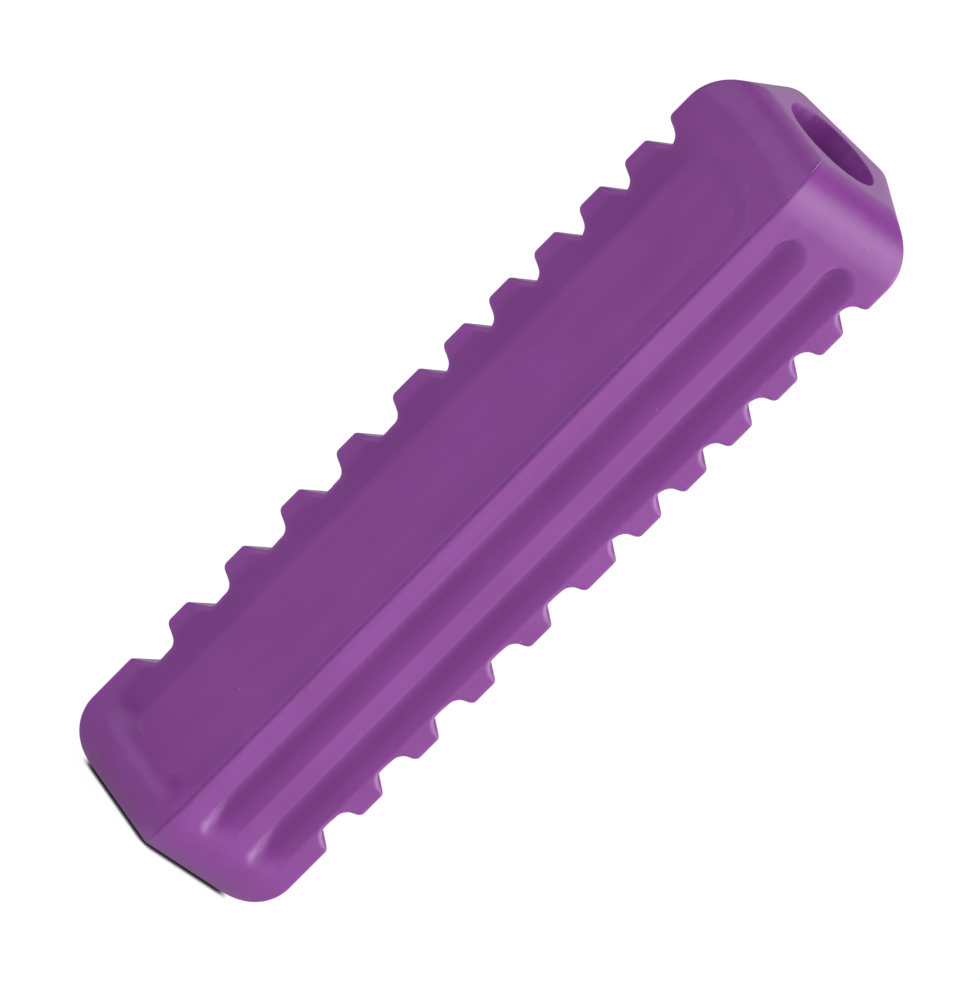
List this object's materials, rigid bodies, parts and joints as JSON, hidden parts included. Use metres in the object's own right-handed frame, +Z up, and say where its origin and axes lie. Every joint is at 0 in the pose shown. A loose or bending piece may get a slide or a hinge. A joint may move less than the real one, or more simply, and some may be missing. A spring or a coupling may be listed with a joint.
{
  "type": "dog chew stick",
  "caption": "Five-sided rubber dog chew stick with rounded ends, a bore along it, a sunken panel, lengthwise flutes and crosswise ribs, joined along seams.",
  "frame": {"origin": "middle of the stick's box, on the floor that its lower end stands on; the bore's axis lies 2.1 mm behind it", "axes": "+Z up along the bore, -Y towards the front corner with the seam, +X towards the right half with the flutes"},
  "size_m": [0.042, 0.0403, 0.15],
  "materials": {
    "purple_rubber": "satin moulded natural rubber, opaque purple",
    "seam_rubber": "thin moulding bead of the same rubber, slightly darker"
  },
  "bodies": {
    "root": {"left_half": "purple_rubber", "right_half": "purple_rubber", "front_seam_bead": "seam_rubber", "back_seam_bead": "seam_rubber"}
  },
  "joints": []
}
